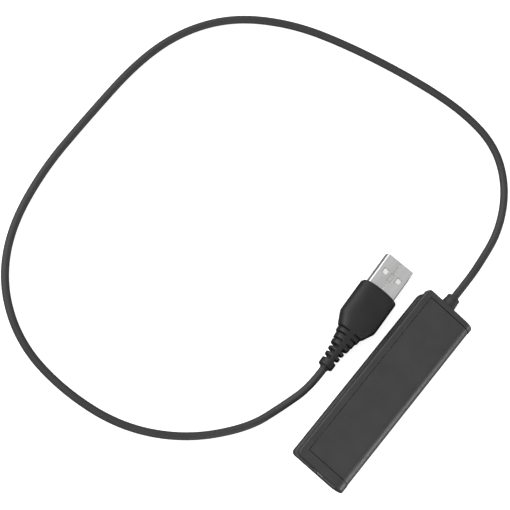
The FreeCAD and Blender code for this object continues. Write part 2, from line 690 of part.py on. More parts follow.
def mould_outline():
    rear = BOOT_FRONT - MOULD_FRONT_GAP - MOULD_LENGTH
    return rounded_block(MOULD_WIDTH, MOULD_HEIGHT, MOULD_CORNER, rear, BOOT_FRONT - MOULD_FRONT_GAP)


def shell_outline():
    return rounded_block(SHELL_WIDTH, SHELL_HEIGHT, SHELL_CORNER, SHELL_REAR, PLUG_TIP)


def make_plug_boot():
    body_start = BOOT_FRONT - BOOT_BODY_LENGTH
    body = rounded_block(BOOT_WIDTH, BOOT_HEIGHT, BOOT_CORNER, body_start, BOOT_FRONT)
    front = [e for e in body.Edges if abs(e.BoundBox.YMin - BOOT_FRONT) < TOL]
    body = body.makeFillet(BOOT_FRONT_ROUND, front)
    taper = Part.makeLoft([
        rounded_wire(BOOT_WIDTH, BOOT_HEIGHT, BOOT_CORNER, body_start),
        rounded_wire(BOOT_WAIST_WIDTH, BOOT_WAIST_HEIGHT, BOOT_CORNER, BOOT_WAIST_Y),
        rounded_wire(BOOT_MIDDLE_WIDTH, BOOT_MIDDLE_HEIGHT, BOOT_CORNER, BOOT_MIDDLE_Y),
        rounded_wire(2 * BOOT_COLLAR_RADIUS, 2 * BOOT_COLLAR_RADIUS, BOOT_CORNER, BOOT_COLLAR_END - 0.2),
    ], True, True)
    collar = rod(BOOT_COLLAR_RADIUS, (0, BOOT_COLLAR_START, 0), (0, BOOT_COLLAR_END, 0))
    tail = rod(BOOT_TAIL_RADIUS, (0, 0, 0), (0, BOOT_COLLAR_START, 0))
    boot = fuse_all([body, taper.cut(ring_slots()), collar, tail])
    boot = boot.cut(mould_outline())
    return boot.cut(shell_outline())


def wire_ends():
    """For each inner wire of the plug: its contact's x, and its x and z where the four come together."""
    near = WIRE_RADIUS + 0.1
    return [(-POWER_CONTACT_X, -near, near), (-DATA_CONTACT_X, -near, -near),
            (DATA_CONTACT_X, near, -near), (POWER_CONTACT_X, near, near)]


def make_plug_wires():
    front = SHELL_REAR - CONTACT_TAIL
    rear = BOOT_FRONT - MOULD_FRONT_GAP - MOULD_LENGTH
    bend_y = rear + POCKET_REAR_WALL + WIRE_RADIUS
    contacts = make_power_contacts().fuse(make_data_contacts())
    wires = []
    for x_contact, x_rear, z_rear in wire_ends():
        bend = (x_rear, bend_y, z_rear)
        wires.append(fuse_all([
            rod(WIRE_RADIUS, (x_contact, front, -CONTACT_SHEET / 2), bend).cut(contacts),
            Part.makeSphere(WIRE_RADIUS, Vector(*bend)),
            rod(WIRE_RADIUS, bend, (x_rear, rear, z_rear)),
        ]))
    return Part.makeCompound(wires)


def make_plug_inner_mould():
    pocket_start = BOOT_FRONT - MOULD_FRONT_GAP - MOULD_LENGTH + POCKET_REAR_WALL
    pocket = box(-POCKET_WIDTH / 2, POCKET_WIDTH / 2, pocket_start, SHELL_REAR + 1,
                 -POCKET_HEIGHT / 2, POCKET_HEIGHT / 2)
    entry = rod(CORD_RADIUS, (0, pocket_start - POCKET_REAR_WALL - 1, 0), (0, pocket_start + 1, 0))
    return mould_outline().cut(shell_outline()).cut(pocket).cut(entry)


def seam_groove():
    """The fold's closing seam down the middle of the top face, with a dovetail half way."""
    top = SHELL_HEIGHT / 2
    half = SHELL_SEAM / 2
    tail_half = SHELL_TAIL_HALF
    tail_y0, tail_y1 = [PLUG_TIP - back for back in SHELL_TAIL_FROM_TIP]
    bars = [
        (-half, half, SHELL_REAR, tail_y0),
        (-half, half, tail_y1, PLUG_TIP),
        (-tail_half, -tail_half + SHELL_SEAM, tail_y0, tail_y1),
        (tail_half - SHELL_SEAM, tail_half, tail_y0, tail_y1),
        (-tail_half, tail_half, tail_y1 - SHELL_SEAM, tail_y1),
        (-tail_half, tail_half, tail_y0, tail_y0 + SHELL_SEAM),
    ]
    return fuse_all([box(x0, x1, y0, y1, top - SHELL_SEAM_DEPTH, top + 1) for x0, x1, y0, y1 in bars])


def make_plug_shell():
    shell = shell_outline()
    shell = shell.cut(rounded_block(SHELL_WIDTH - 2 * SHELL_SHEET, SHELL_HEIGHT - 2 * SHELL_SHEET,
                                    SHELL_CORNER - SHELL_SHEET, SHELL_REAR - 1, PLUG_TIP + 1))
    for side in (-1, 1):
        shell = shell.cut(centred_box(side * SHELL_HOLE_X, PLUG_TIP - SHELL_HOLE_FROM_TIP, -SHELL_HEIGHT,
                                      SHELL_HOLE, SHELL_HOLE, 2 * SHELL_HEIGHT))
    return shell.cut(seam_groove())


def contact_bar(x, tip_gap):
    return box(x - CONTACT_WIDTH / 2, x + CONTACT_WIDTH / 2, SHELL_REAR - CONTACT_TAIL, PLUG_TIP - tip_gap,
               -CONTACT_SHEET, 0)


def make_power_contacts():
    return Part.makeCompound([contact_bar(side * POWER_CONTACT_X, POWER_CONTACT_TIP_GAP) for side in (-1, 1)])


def make_data_contacts():
    return Part.makeCompound([contact_bar(side * DATA_CONTACT_X, DATA_CONTACT_TIP_GAP) for side in (-1, 1)])


def make_plug_insulator():
    half_w = SHELL_WIDTH / 2 - SHELL_SHEET - INSULATOR_GAP
    half_h = SHELL_HEIGHT / 2 - SHELL_SHEET - INSULATOR_GAP
    block = box(-half_w, half_w, SHELL_REAR, SHELL_REAR + INSULATOR_BLOCK_LENGTH, -half_h, half_h)
    tongue = box(-half_w, half_w, SHELL_REAR, PLUG_TIP - TONGUE_TIP_GAP, 0, half_h)
    solid = fuse_all([block, tongue])
    long_edges = [e for e in solid.Edges if e.BoundBox.XLength < TOL and e.BoundBox.ZLength < TOL
                  and abs(abs(e.BoundBox.XMin) - half_w) < TOL and abs(abs(e.BoundBox.ZMin) - half_h) < TOL]
    solid = solid.makeFillet(SHELL_CORNER - SHELL_SHEET, long_edges)
    return solid.cut(make_power_contacts()).cut(make_data_contacts())


def all_nodes():
    """Every piece by name, in the case's frame."""
    nodes = {
        "top_cover": make_top_cover(),
        "bottom_cover": make_bottom_cover(),
        "wrap_panel": make_wrap_panel(),
        "side_band": make_side_band(),
        "case_screws": make_case_screws(),
        "led_window": make_led_window(),
        "light_pipe": make_light_pipe(),
        "link_led": make_link_led(),
        "wps_button": make_wps_button(),
        "switch_plunger": make_switch_plunger(),
        "switch_body": make_switch_body(),
        "main_board": make_main_board(),
        "wifi_chip": make_wifi_chip(),
        "shield_frame": make_shield_frame(),
        "shield_lid": make_shield_lid(),
        "crystal": make_crystal(),
        "regulator_chip": make_regulator_chip(),
        "power_inductor": make_power_inductor(),
        "chip_capacitors": make_chip_capacitors(),
        "chip_resistors": make_chip_resistors(),
        "antenna_left": make_antenna(SCREW_X[0]),
        "antenna_right": make_antenna(SCREW_X[1]),
        "solder_joints": make_solder_joints(),
        "strain_relief": make_strain_relief(),
        "cable_jacket": make_cable_jacket(),
    }
    for index, colour in enumerate(("red", "white", "green", "black")):
        nodes["wire_" + colour] = make_board_wire(index)
    plug = {
        "plug_boot": make_plug_boot(),
        "plug_inner_mould": make_plug_inner_mould(),
        "plug_shell": make_plug_shell(),
        "plug_insulator": make_plug_insulator(),
        "power_contacts": make_power_contacts(),
        "data_contacts": make_data_contacts(),
        "plug_wires": make_plug_wires(),
    }
    for name, shape in plug.items():
        nodes[name] = place_plug(shape)
    return nodes


os.makedirs("parts", exist_ok=True)
for name, shape in all_nodes().items():
    print("%-18s valid %s  solids %d  volume %.2f mm3"
          % (name, shape.isValid(), len(shape.Solids), sum(s.Volume for s in shape.Solids)))
    shape.exportStep("parts/%s.step" % name)
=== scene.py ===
# %% [markdown]
# A wireless network adapter: a flat plastic case on a thin lead that ends in a USB-A plug.
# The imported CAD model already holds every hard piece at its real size. Here those pieces get
# their finishes, and the soft ones, which are the lead and its two rubber sleeves, are rebuilt
# as smooth meshes. Everything is in metres, in the frame of the CAD model.

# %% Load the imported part
import math
import bmesh
import bpy
from mathutils import Matrix, Vector


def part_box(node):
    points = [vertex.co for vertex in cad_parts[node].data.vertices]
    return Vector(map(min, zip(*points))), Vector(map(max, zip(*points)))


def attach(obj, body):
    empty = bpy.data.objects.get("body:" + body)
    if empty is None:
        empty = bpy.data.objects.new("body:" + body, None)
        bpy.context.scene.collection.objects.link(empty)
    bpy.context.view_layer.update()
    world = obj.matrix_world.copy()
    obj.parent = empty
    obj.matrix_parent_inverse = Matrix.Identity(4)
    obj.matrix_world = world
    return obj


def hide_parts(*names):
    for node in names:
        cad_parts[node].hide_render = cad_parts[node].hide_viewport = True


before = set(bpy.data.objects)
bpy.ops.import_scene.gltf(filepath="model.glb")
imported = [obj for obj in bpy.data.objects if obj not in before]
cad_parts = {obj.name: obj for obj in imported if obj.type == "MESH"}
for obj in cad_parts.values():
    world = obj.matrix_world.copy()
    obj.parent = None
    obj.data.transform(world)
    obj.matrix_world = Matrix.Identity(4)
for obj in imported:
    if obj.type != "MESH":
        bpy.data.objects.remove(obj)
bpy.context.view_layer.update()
MM = 0.001

# %% [markdown]
# The camera stands high above the table, a little to the flat side of the case and to its far
# end. A long lens flattens the perspective, as in a catalogue picture. An up direction that lies
# on the table turns the picture, so that the case runs from the lower middle to the right.

# %% Camera
LOOK_AT = Vector((-0.0674, 0.0066, 0.0))
CAMERA_PLACE = Vector((-0.1520, -0.1745, 0.6709))
PICTURE_UP = Vector((-0.6444, 0.7647, 0.0))
LENS = 136.5


def looking_matrix(place, target, up_hint):
    """The matrix of a camera or light at place that looks at target."""
    back = (place - target).normalized()
    right = up_hint.cross(back).normalized()
    up = back.cross(right)
    return Matrix.Translation(place) @ Matrix((right, up, back)).transposed().to_4x4()


camera_data = bpy.data.cameras.new("studio_camera")
camera_data.lens = LENS
camera_data.clip_start = 0.01
camera = bpy.data.objects.new("studio_camera", camera_data)
bpy.context.scene.collection.objects.link(camera)
camera.matrix_world = looking_matrix(CAMERA_PLACE, LOOK_AT, PICTURE_UP)
bpy.context.scene.camera = camera
print("camera to target: %.3f m" % (CAMERA_PLACE - LOOK_AT).length)

# %% [markdown]
# The lead is a thin PVC jacket of 2.9 mm that leaves the case straight, drops to the table and
# lies there in one loose loop. A NURBS curve suits it: a few control points give one smooth line
# with no kinks, and the round section is the curve's own bevel. An order of 3 keeps the line
# close to its points, and the end points are touched because the endpoint option is on. A
# point's own radius multiplies the bevel depth, so the depth is 1 and the points hold the radius:
# Blender measures a curve's box from the points' radius alone.

# %% The lead
LEAD_RADIUS = 1.45 * MM
LEAD_STEPS = 20          # straight pieces between two control points
LEAD_ROUND_STEPS = 7     # how finely its round section is divided
LEAD_ROUTE_MM = [
    (-1.1, 44.0, 4.5), (-1.1, 51.0, 4.5), (-0.8, 60.6, 1.6), (-2.9, 76.6, 1.45),
    (-11.3, 91.3, 1.45), (-24.6, 100.5, 1.45), (-42.8, 101.8, 1.45), (-65.4, 97.6, 1.45),
    (-91.6, 89.9, 1.45), (-111.8, 81.5, 1.45), (-129.4, 68.3, 1.45), (-140.3, 51.2, 1.45),
    (-145.3, 30.8, 1.45), (-145.4, 2.1, 1.45), (-144.7, -22.8, 1.45), (-139.4, -46.5, 1.45),
    (-128.0, -63.5, 1.45), (-110.2, -74.2, 1.45), (-88.4, -76.6, 1.45), (-64.7, -72.9, 1.45),
    (-44.4, -61.1, 1.45), (-29.4, -43.1, 1.45), (-24.6, -28.6, 1.45), (-21.8, -17.2, 4.0),
    (-22.25, -8.75, 4.0),
]
LEAD_ROUTE = [Vector(point) * MM for point in LEAD_ROUTE_MM]


def lead_curve(name, route, radius):
    """A round cord along one NURBS spline with the route as its control points."""
    curve = bpy.data.curves.new(name, "CURVE")
    curve.dimensions = "3D"
    spline = curve.splines.new("NURBS")
    spline.points.add(len(route) - 1)
    for control, place in zip(spline.points, route):
        control.co = (*place, 1.0)
        control.radius = radius
    spline.order_u = 3
    spline.use_endpoint_u = True
    curve.resolution_u = LEAD_STEPS
    curve.bevel_depth = 1.0
    curve.bevel_resolution = LEAD_ROUND_STEPS
    curve.use_fill_caps = True
    piece = bpy.data.objects.new(name, curve)
    bpy.context.scene.collection.objects.link(piece)
    return piece


lead = lead_curve("lead", LEAD_ROUTE, LEAD_RADIUS)
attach(lead, "adapter")
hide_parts("cable_jacket")
print("lead: %d control points" % len(LEAD_ROUTE))

# %% [markdown]
# The studio is a white light table and a soft sky that is brightest over the flat side of the
# case and dimmer over its rounded side. Black plastic shows mostly what it reflects, so this slow
# change of the sky is what draws its shape. A glow along the horizon and a low strip light give
# the rounded side its bright rim. The table shines a little, so that shadows on it stay faint.
# Only the camera sees that glow and the table's full white, or the polished walls beside it would
# mirror it and lose their black. One large softbox adds the light of the bright side. The colours
# go to the picture as they are, with no film curve.

# %% Table, sky and softbox
FLOOR_SIZE = 6.0
TABLE_GLOW = 0.75
TABLE_SHADES = (0.14, 0.60)   # to reflections and bounced light, to the camera
TABLE_ROUGHNESS = 0.9
SKY_BRIGHT_SIDE = (-0.78, -0.12, 0.35)
SKY_LEVELS = ((0.0, 0.22), (0.5, 0.45), (0.72, 0.95), (1.0, 2.2))
HORIZON_GLOW = 1.1
HORIZON_HEIGHT = 0.28
SOFTBOX_SIZE = 0.9
SOFTBOX_POWER = 9.0
SOFTBOX_PLACE = Vector((-0.85, -0.25, 0.75))
STRIP_SIZE = 0.8
STRIP_HEIGHT = 0.22
STRIP_POWER = 4.6
STRIP_PLACE = Vector((0.62, -0.12, 0.13))

bpy.context.scene.view_settings.view_transform = "Standard"


def node(tree, kind, **values):
    """A new node with its properties set by name."""
    made = tree.nodes.new(kind)
    for name, value in values.items():
        setattr(made, name, value)
    return made


def sky_world():
    world = bpy.data.worlds.new("studio_sky")
    world.use_nodes = True
    tree = world.node_tree
    background = tree.nodes["Background"]
    place = node(tree, "ShaderNodeTexCoord")
    side = node(tree, "ShaderNodeVectorMath", operation="DOT_PRODUCT")
    side.inputs[1].default_value = Vector(SKY_BRIGHT_SIDE).normalized()
    spread = node(tree, "ShaderNodeMapRange")
    spread.inputs["From Min"].default_value = -1.0
    levels = node(tree, "ShaderNodeValToRGB")
    ramp = levels.color_ramp.elements
    while len(ramp) < len(SKY_LEVELS):
        ramp.new(0.5)
    top_level = SKY_LEVELS[-1][1]
    for stop, (position, level) in zip(ramp, SKY_LEVELS):
        stop.position = position
        stop.color = (level / top_level,) * 3 + (1.0,)
    background.inputs["Strength"].default_value = top_level
    tree.links.new(place.outputs["Generated"], side.inputs[0])
    tree.links.new(side.outputs["Value"], spread.inputs["Value"])
    tree.links.new(spread.outputs["Result"], levels.inputs["Fac"])
    height = node(tree, "ShaderNodeSeparateXYZ")
    tree.links.new(place.outputs["Generated"], height.inputs[0])
    low = node(tree, "ShaderNodeMapRange", interpolation_type="SMOOTHSTEP")
    low.inputs["From Max"].default_value = HORIZON_HEIGHT
    low.inputs["To Min"].default_value = HORIZON_GLOW / top_level
    low.inputs["To Max"].default_value = 0.0
    tree.links.new(height.outputs["Z"], low.inputs["Value"])
    glow = node(tree, "ShaderNodeVectorMath", operation="ADD")
    tree.links.new(levels.outputs["Color"], glow.inputs[0])
    tree.links.new(low.outputs["Result"], glow.inputs[1])
    tree.links.new(glow.outputs["Vector"], background.inputs["Color"])
    bpy.context.scene.world = world


def white_table():
    mesh = bpy.data.meshes.new("table_top")
    half = FLOOR_SIZE / 2
    corners = [(-half, -half, 0), (half, -half, 0), (half, half, 0), (-half, half, 0)]
    mesh.from_pydata(corners, [], [(0, 1, 2, 3)])
    table = bpy.data.objects.new("table_top", mesh)
    bpy.context.scene.collection.objects.link(table)
    paint = bpy.data.materials.new("table_white")
    paint.use_nodes = True
    shader = paint.node_tree.nodes["Principled BSDF"]
    shader.inputs["Emission Color"].default_value = (1.0, 1.0, 1.0, 1.0)
    path = node(paint.node_tree, "ShaderNodeLightPath")
    for label, hidden, seen in (("Base Color", *TABLE_SHADES), ("Emission Strength", 0.0, TABLE_GLOW)):
        level = node(paint.node_tree, "ShaderNodeMapRange")
        level.inputs["To Min"].default_value = hidden
        level.inputs["To Max"].default_value = seen
        paint.node_tree.links.new(path.outputs["Is Camera Ray"], level.inputs["Value"])
        paint.node_tree.links.new(level.outputs["Result"], shader.inputs[label])
    shader.inputs["Roughness"].default_value = TABLE_ROUGHNESS
    shader.inputs["Specular IOR Level"].default_value = 0.0
    mesh.materials.append(paint)


def softbox(name, place, size, power, height=None):
    light = bpy.data.lights.new(name, "AREA")
    light.shape = "RECTANGLE"
    light.size = size
    light.size_y = height or size
    light.energy = power
    lamp = bpy.data.objects.new(name, light)
    bpy.context.scene.collection.objects.link(lamp)
    lamp.matrix_world = looking_matrix(place, LOOK_AT, Vector((0.0, 0.0, 1.0)))


sky_world()
white_table()
softbox("side_softbox", SOFTBOX_PLACE, SOFTBOX_SIZE, SOFTBOX_POWER)
softbox("low_strip", STRIP_PLACE, STRIP_SIZE, STRIP_POWER, STRIP_HEIGHT)
print("softbox: %.0f W, %.2f m from the middle" % (SOFTBOX_POWER, (SOFTBOX_PLACE - LOOK_AT).length))

# %% [markdown]
# Each finish is a Principled shader fed by small node groups. A group is made once and placed in
# many materials with other numbers, as one spark-eroded mould texture serves several parts. The
# groups give only things that change over the surface: heights, masks and mottling.

# %% Helper for node groups
def effect_group(name, inputs, outputs):
    """An empty shader group with number inputs (name, default) and number outputs."""
    tree = bpy.data.node_groups.new(name, "ShaderNodeTree")
    for label, default in inputs:
        socket = tree.interface.new_socket(name=label, in_out="INPUT", socket_type="NodeSocketFloat")
        socket.default_value = default
    for label in outputs:
        tree.interface.new_socket(name=label, in_out="OUTPUT", socket_type="NodeSocketFloat")
    return tree, tree.nodes.new("NodeGroupInput"), tree.nodes.new("NodeGroupOutput")


def remap(tree, source, low, high):
    """A node that spreads source from low..high to 0..1."""
    spread = node(tree, "ShaderNodeMapRange")
    spread.inputs["From Min"].default_value = low
    spread.inputs["From Max"].default_value = high
    tree.links.new(source, spread.inputs["Value"])
    return spread.outputs["Result"]


def noise(tree, vector, scale, detail=3.0):
    """Smooth noise; scale is a number or a socket."""
    made = node(tree, "ShaderNodeTexNoise")
    made.inputs["Detail"].default_value = detail
    if isinstance(scale, (int, float)):
        made.inputs["Scale"].default_value = scale
    else:
        tree.links.new(scale, made.inputs["Scale"])
    tree.links.new(vector, made.inputs["Vector"])
    return made.outputs["Fac"]


NOISE_SPREAD = (0.3, 0.7)   # where nearly all values of a noise lie
print("noise is spread from %.1f..%.1f to 0..1" % NOISE_SPREAD)

# %% [markdown]
# Moulded plastic has a fine pebbled skin, copied from the spark-eroded steel of its mould, and
# broad soft patches where it cooled unevenly. Noise gives both: a fine one for the height and a
# coarse one for the patches.

# %% Moulded grain
def make_moulded_grain():
    inputs = [("Grain per metre", 3500.0), ("Patches per metre", 120.0)]
    tree, enter, leave = effect_group("moulded_grain", inputs, ["Height", "Patches"])
    place = node(tree, "ShaderNodeTexCoord").outputs["Object"]
    fine = noise(tree, place, enter.outputs["Grain per metre"], detail=2.0)
    broad = noise(tree, place, enter.outputs["Patches per metre"], detail=4.0)
    tree.links.new(fine, leave.inputs["Height"])
    tree.links.new(remap(tree, broad, *NOISE_SPREAD), leave.inputs["Patches"])
    return tree


GRAIN = make_moulded_grain()
print("%s: %d nodes" % (GRAIN.name, len(GRAIN.nodes)))


# %% [markdown]
# Handled plastic is rubbed smooth and a little lighter along its edges. On the case and its polished
# band the same lightening also paints the thin highlight that a rounded edge catches, so it is
# partly wear and partly painted highlight. The Bevel node gives the normal that a rounded edge would
# have, so where it differs from the true normal there is an edge. Noise breaks the line up, because
# wear is never even.

# %% Rubbed edges and painted edge highlights
EDGE_LIKENESS = (0.99, 0.80)   # of the two normals: where wear starts, where it is full
EDGE_BREAKS = (0.35, 0.6)      # noise where the wear is gone, where it is whole


def make_worn_and_highlit_edge():
    inputs = [("Width", 0.0004), ("Breaks per metre", 900.0)]
    tree, enter, leave = effect_group("worn_and_highlit_edge", inputs, ["Mask"])
    surface = node(tree, "ShaderNodeNewGeometry")
    rounded = node(tree, "ShaderNodeBevel", samples=4)
    tree.links.new(enter.outputs["Width"], rounded.inputs["Radius"])
    likeness = node(tree, "ShaderNodeVectorMath", operation="DOT_PRODUCT")
    tree.links.new(rounded.outputs["Normal"], likeness.inputs[0])
    tree.links.new(surface.outputs["Normal"], likeness.inputs[1])
    edge = remap(tree, likeness.outputs["Value"], *EDGE_LIKENESS)
    place = node(tree, "ShaderNodeTexCoord").outputs["Object"]
    breaks = remap(tree, noise(tree, place, enter.outputs["Breaks per metre"]), *EDGE_BREAKS)
    both = node(tree, "ShaderNodeMath", operation="MULTIPLY")
    tree.links.new(edge, both.inputs[0])
    tree.links.new(breaks, both.inputs[1])
    tree.links.new(both.outputs["Value"], leave.inputs["Mask"])
    return tree


EDGE_WEAR_AND_HIGHLIGHT = make_worn_and_highlit_edge()
print("%s: %d nodes" % (EDGE_WEAR_AND_HIGHLIGHT.name, len(EDGE_WEAR_AND_HIGHLIGHT.nodes)))


# %% [markdown]
# No moulded edge is truly sharp. The Bevel node bends the normal close to every edge, so that the
# edge catches a thin line of light without any change to the mesh.

# %% Soft edges
def make_soft_edge():
    tree, enter, leave = effect_group("soft_edge", [("Width", 0.00018)], [])
    tree.interface.new_socket(name="Normal", in_out="OUTPUT", socket_type="NodeSocketVector")
    rounded = node(tree, "ShaderNodeBevel", samples=6)
    tree.links.new(enter.outputs["Width"], rounded.inputs["Radius"])
    tree.links.new(rounded.outputs["Normal"], leave.inputs["Normal"])
    return tree


SOFT = make_soft_edge()
print("%s: %d nodes" % (SOFT.name, len(SOFT.nodes)))


# %% [markdown]
# Light hardly reaches the bottom of a narrow gap. The Ambient Occlusion node measures how closed in a
# point is, and that mask darkens seams and corners: painted shade in the colour.

# %% Painted shade in seams
SEAM_SHADE_OPENNESS = (0.95, 0.45)   # where the darkening starts, where it is full


def make_painted_seam_shade():
    tree, enter, leave = effect_group("painted_seam_shade", [("Reach", 0.0004)], ["Mask"])
    closed = node(tree, "ShaderNodeAmbientOcclusion", samples=6)
    tree.links.new(enter.outputs["Reach"], closed.inputs["Distance"])
    tree.links.new(remap(tree, closed.outputs["AO"], *SEAM_SHADE_OPENNESS), leave.inputs["Mask"])
    return tree


SEAM_SHADE = make_painted_seam_shade()
print("%s: %d nodes" % (SEAM_SHADE.name, len(SEAM_SHADE.nodes)))


# %% [markdown]
# A few specks of dust settle on whatever faces up. A Voronoi cell texture places the specks, its
# distance makes each one small and round, and the surface's own upward slope hides them below.

# %% Dust specks
SPECK_EDGE = (0.09, 0.04)     # distance from its middle where a speck starts, where it is full
SPECK_REGIONS = 260.0         # per metre: most regions hold no specks
SPECK_CHOICE = (0.55, 0.7)
SPECK_SLOPE = (0.6, 0.95)     # upward part of the normal where dust starts to lie, where it does


def make_dust_specks():
    tree, enter, leave = effect_group("dust_specks", [("Specks per metre", 500.0)], ["Mask"])
    place = node(tree, "ShaderNodeTexCoord").outputs["Object"]
    cells = node(tree, "ShaderNodeTexVoronoi", feature="F1")
    tree.links.new(place, cells.inputs["Vector"])
    tree.links.new(enter.outputs["Specks per metre"], cells.inputs["Scale"])
    spot = remap(tree, cells.outputs["Distance"], *SPECK_EDGE)
    chosen = remap(tree, noise(tree, place, SPECK_REGIONS, detail=1.0), *SPECK_CHOICE)
    upward = node(tree, "ShaderNodeSeparateXYZ")
    tree.links.new(node(tree, "ShaderNodeNewGeometry").outputs["Normal"], upward.inputs[0])
    facing = remap(tree, upward.outputs["Z"], *SPECK_SLOPE)
    first = node(tree, "ShaderNodeMath", operation="MULTIPLY")
    second = node(tree, "ShaderNodeMath", operation="MULTIPLY")
    tree.links.new(spot, first.inputs[0])
    tree.links.new(chosen, first.inputs[1])
    tree.links.new(first.outputs["Value"], second.inputs[0])
    tree.links.new(facing, second.inputs[1])
    tree.links.new(second.outputs["Value"], leave.inputs["Mask"])
    return tree


DUST = make_dust_specks()
print("%s: %d nodes" % (DUST.name, len(DUST.nodes)))


# %% [markdown]
# Rolled sheet metal keeps fine lines along the way it was rolled. Noise that is squeezed across
# that way and stretched along it gives such lines. The lead's plug lies nearly along Y, so its
# lines do too.

# %% Rolled lines
ROLLED_SQUEEZE = (1.0, 0.03, 1.0)
STREAKS_PER_METRE = 900.0


def make_rolled_lines():
    tree, enter, leave = effect_group("rolled_lines", [("Lines per metre", 9000.0)], ["Height", "Streaks"])
    place = node(tree, "ShaderNodeTexCoord").outputs["Object"]
    stretch = node(tree, "ShaderNodeMapping")
    stretch.inputs["Scale"].default_value = ROLLED_SQUEEZE
    tree.links.new(place, stretch.inputs["Vector"])
    lines = noise(tree, stretch.outputs["Vector"], enter.outputs["Lines per metre"], detail=2.0)
    broad = noise(tree, stretch.outputs["Vector"], STREAKS_PER_METRE)
    tree.links.new(lines, leave.inputs["Height"])
    tree.links.new(remap(tree, broad, *NOISE_SPREAD), leave.inputs["Streaks"])
    return tree


ROLLED = make_rolled_lines()
print("effect groups:", ", ".join(g.name for g in (GRAIN, EDGE_WEAR_AND_HIGHLIGHT, SOFT, SEAM_SHADE, DUST, ROLLED)))

# %% [markdown]
# All the plastics and rubbers share one recipe: a dark or bright base, slow patches of a second
# shade, rubbed edges that also carry a painted highlight, dust, painted shade in the seams, and a
# grain that feeds the bump. What sets one apart from another is its numbers: how rough it is, how
# deep its grain is and how much its edges have been rubbed and lit.

# %% Plastic recipe
# edge lightening, partly wear and partly painted highlight: how much lighter, and a lift
WORN_AND_HIGHLIT_GAIN = 2.2          # a worn edge is this much lighter than the second shade
WORN_AND_HIGHLIT_LIFT = 0.004
DUST_GREY = 0.35
# painted shade in seams and corners: how much it darkens, and to what grey
PLASTIC_SEAM_SHADE_STRENGTH = 0.8
PLASTIC_SEAM_SHADE_GREY = 0.002


def place_group(tree, group, **values):
    """One effect group in a material, with its inputs set by name."""
    made = node(tree, "ShaderNodeGroup", node_tree=group)
    for name, value in values.items():
        made.inputs[name.replace("_", " ")].default_value = value
    return made


def blend_number(tree, mask, low, high):
    """A number that goes from low to high with the mask."""
    spread = node(tree, "ShaderNodeMapRange")
    spread.inputs["To Min"].default_value = low
    spread.inputs["To Max"].default_value = high
    tree.links.new(mask, spread.inputs["Value"])
    return spread.outputs["Result"]


def blend_colour(tree, mask, low, high):
    """A colour that goes from low to high with the mask; either may be a colour or a socket."""
    mix = node(tree, "ShaderNodeMix", data_type="RGBA")
    tree.links.new(mask, mix.inputs["Factor"])
    for socket, value in ((mix.inputs[6], low), (mix.inputs[7], high)):
        if isinstance(value, bpy.types.NodeSocket):
            tree.links.new(value, socket)
        else:
            socket.default_value = (*value, 1.0)
    return mix.outputs[2]


def grey(level):
    return (level, level, level)


def scaled(tree, mask, amount):
    """The mask times a number."""
    product = node(tree, "ShaderNodeMath", operation="MULTIPLY")
    product.inputs[1].default_value = amount
    tree.links.new(mask, product.inputs[0])
    return product.outputs["Value"]


def bump(tree, height, distance, shader, soft):
    """Bumps on top of the softened edges, into the shader."""
    made = node(tree, "ShaderNodeBump")
    made.inputs["Distance"].default_value = distance
    tree.links.new(height, made.inputs["Height"])
    tree.links.new(soft.outputs["Normal"], made.inputs["Normal"])
    tree.links.new(made.outputs["Normal"], shader.inputs["Normal"])


def plastic(name, base, second, rough, grain=3500.0, depth=0.00002, worn_and_highlit=None, wear_and_highlight=0.5,
            dust=0.25, shine=0.5, **sockets):
    """A moulded plastic or rubber. base and second are its two shades, rough is (least, most)."""
    material = bpy.data.materials.new(name)
    material.use_nodes = True
    tree = material.node_tree
    shader = tree.nodes["Principled BSDF"]
    skin = place_group(tree, GRAIN, Grain_per_metre=grain)
    rub_and_highlight = place_group(tree, EDGE_WEAR_AND_HIGHLIGHT)
    specks = place_group(tree, DUST)
    soft = place_group(tree, SOFT)
    seam_shade = place_group(tree, SEAM_SHADE)
    shade = blend_colour(tree, skin.outputs["Patches"], base, second)
    # lighter edges: partly wear, partly a painted highlight
    worn_and_highlit_shade = worn_and_highlit or tuple(WORN_AND_HIGHLIT_GAIN * c + WORN_AND_HIGHLIT_LIFT for c in second)
    shade = blend_colour(tree, scaled(tree, rub_and_highlight.outputs["Mask"], wear_and_highlight), shade, worn_and_highlit_shade)
    shade = blend_colour(tree, scaled(tree, specks.outputs["Mask"], dust), shade, grey(DUST_GREY))
    # painted shade: closed-in seams and corners are darkened in the colour
    closed = scaled(tree, seam_shade.outputs["Mask"], PLASTIC_SEAM_SHADE_STRENGTH)
    shade = blend_colour(tree, closed, shade, grey(PLASTIC_SEAM_SHADE_GREY))
    tree.links.new(shade, shader.inputs["Base Color"])
    tree.links.new(blend_number(tree, skin.outputs["Patches"], *rough), shader.inputs["Roughness"])
    bump(tree, skin.outputs["Height"], depth, shader, soft)
    shader.inputs["Specular IOR Level"].default_value = shine
    for label, value in sockets.items():
        shader.inputs[label.replace("_", " ")].default_value = value
    return material


print("plastic recipe ready: seams darken by up to %.0f %%" % (100 * PLASTIC_SEAM_SHADE_STRENGTH))


# %% [markdown]
# Metal has no colour of its own below the surface, so Metallic is 1 and the base colour is the
# colour of the reflection. The rolled lines vary its roughness, which is what makes sheet metal
# look drawn, and a faint bump along them breaks up sharp reflections.

# %% Metal recipe
BRIGHT_GAIN = 1.15       # a rubbed edge is this much brighter than the base
# painted shade in seams and corners of metal: how much it darkens, and to what grey
METAL_SEAM_SHADE_STRENGTH = 0.7
METAL_SEAM_SHADE_GREY = 0.12


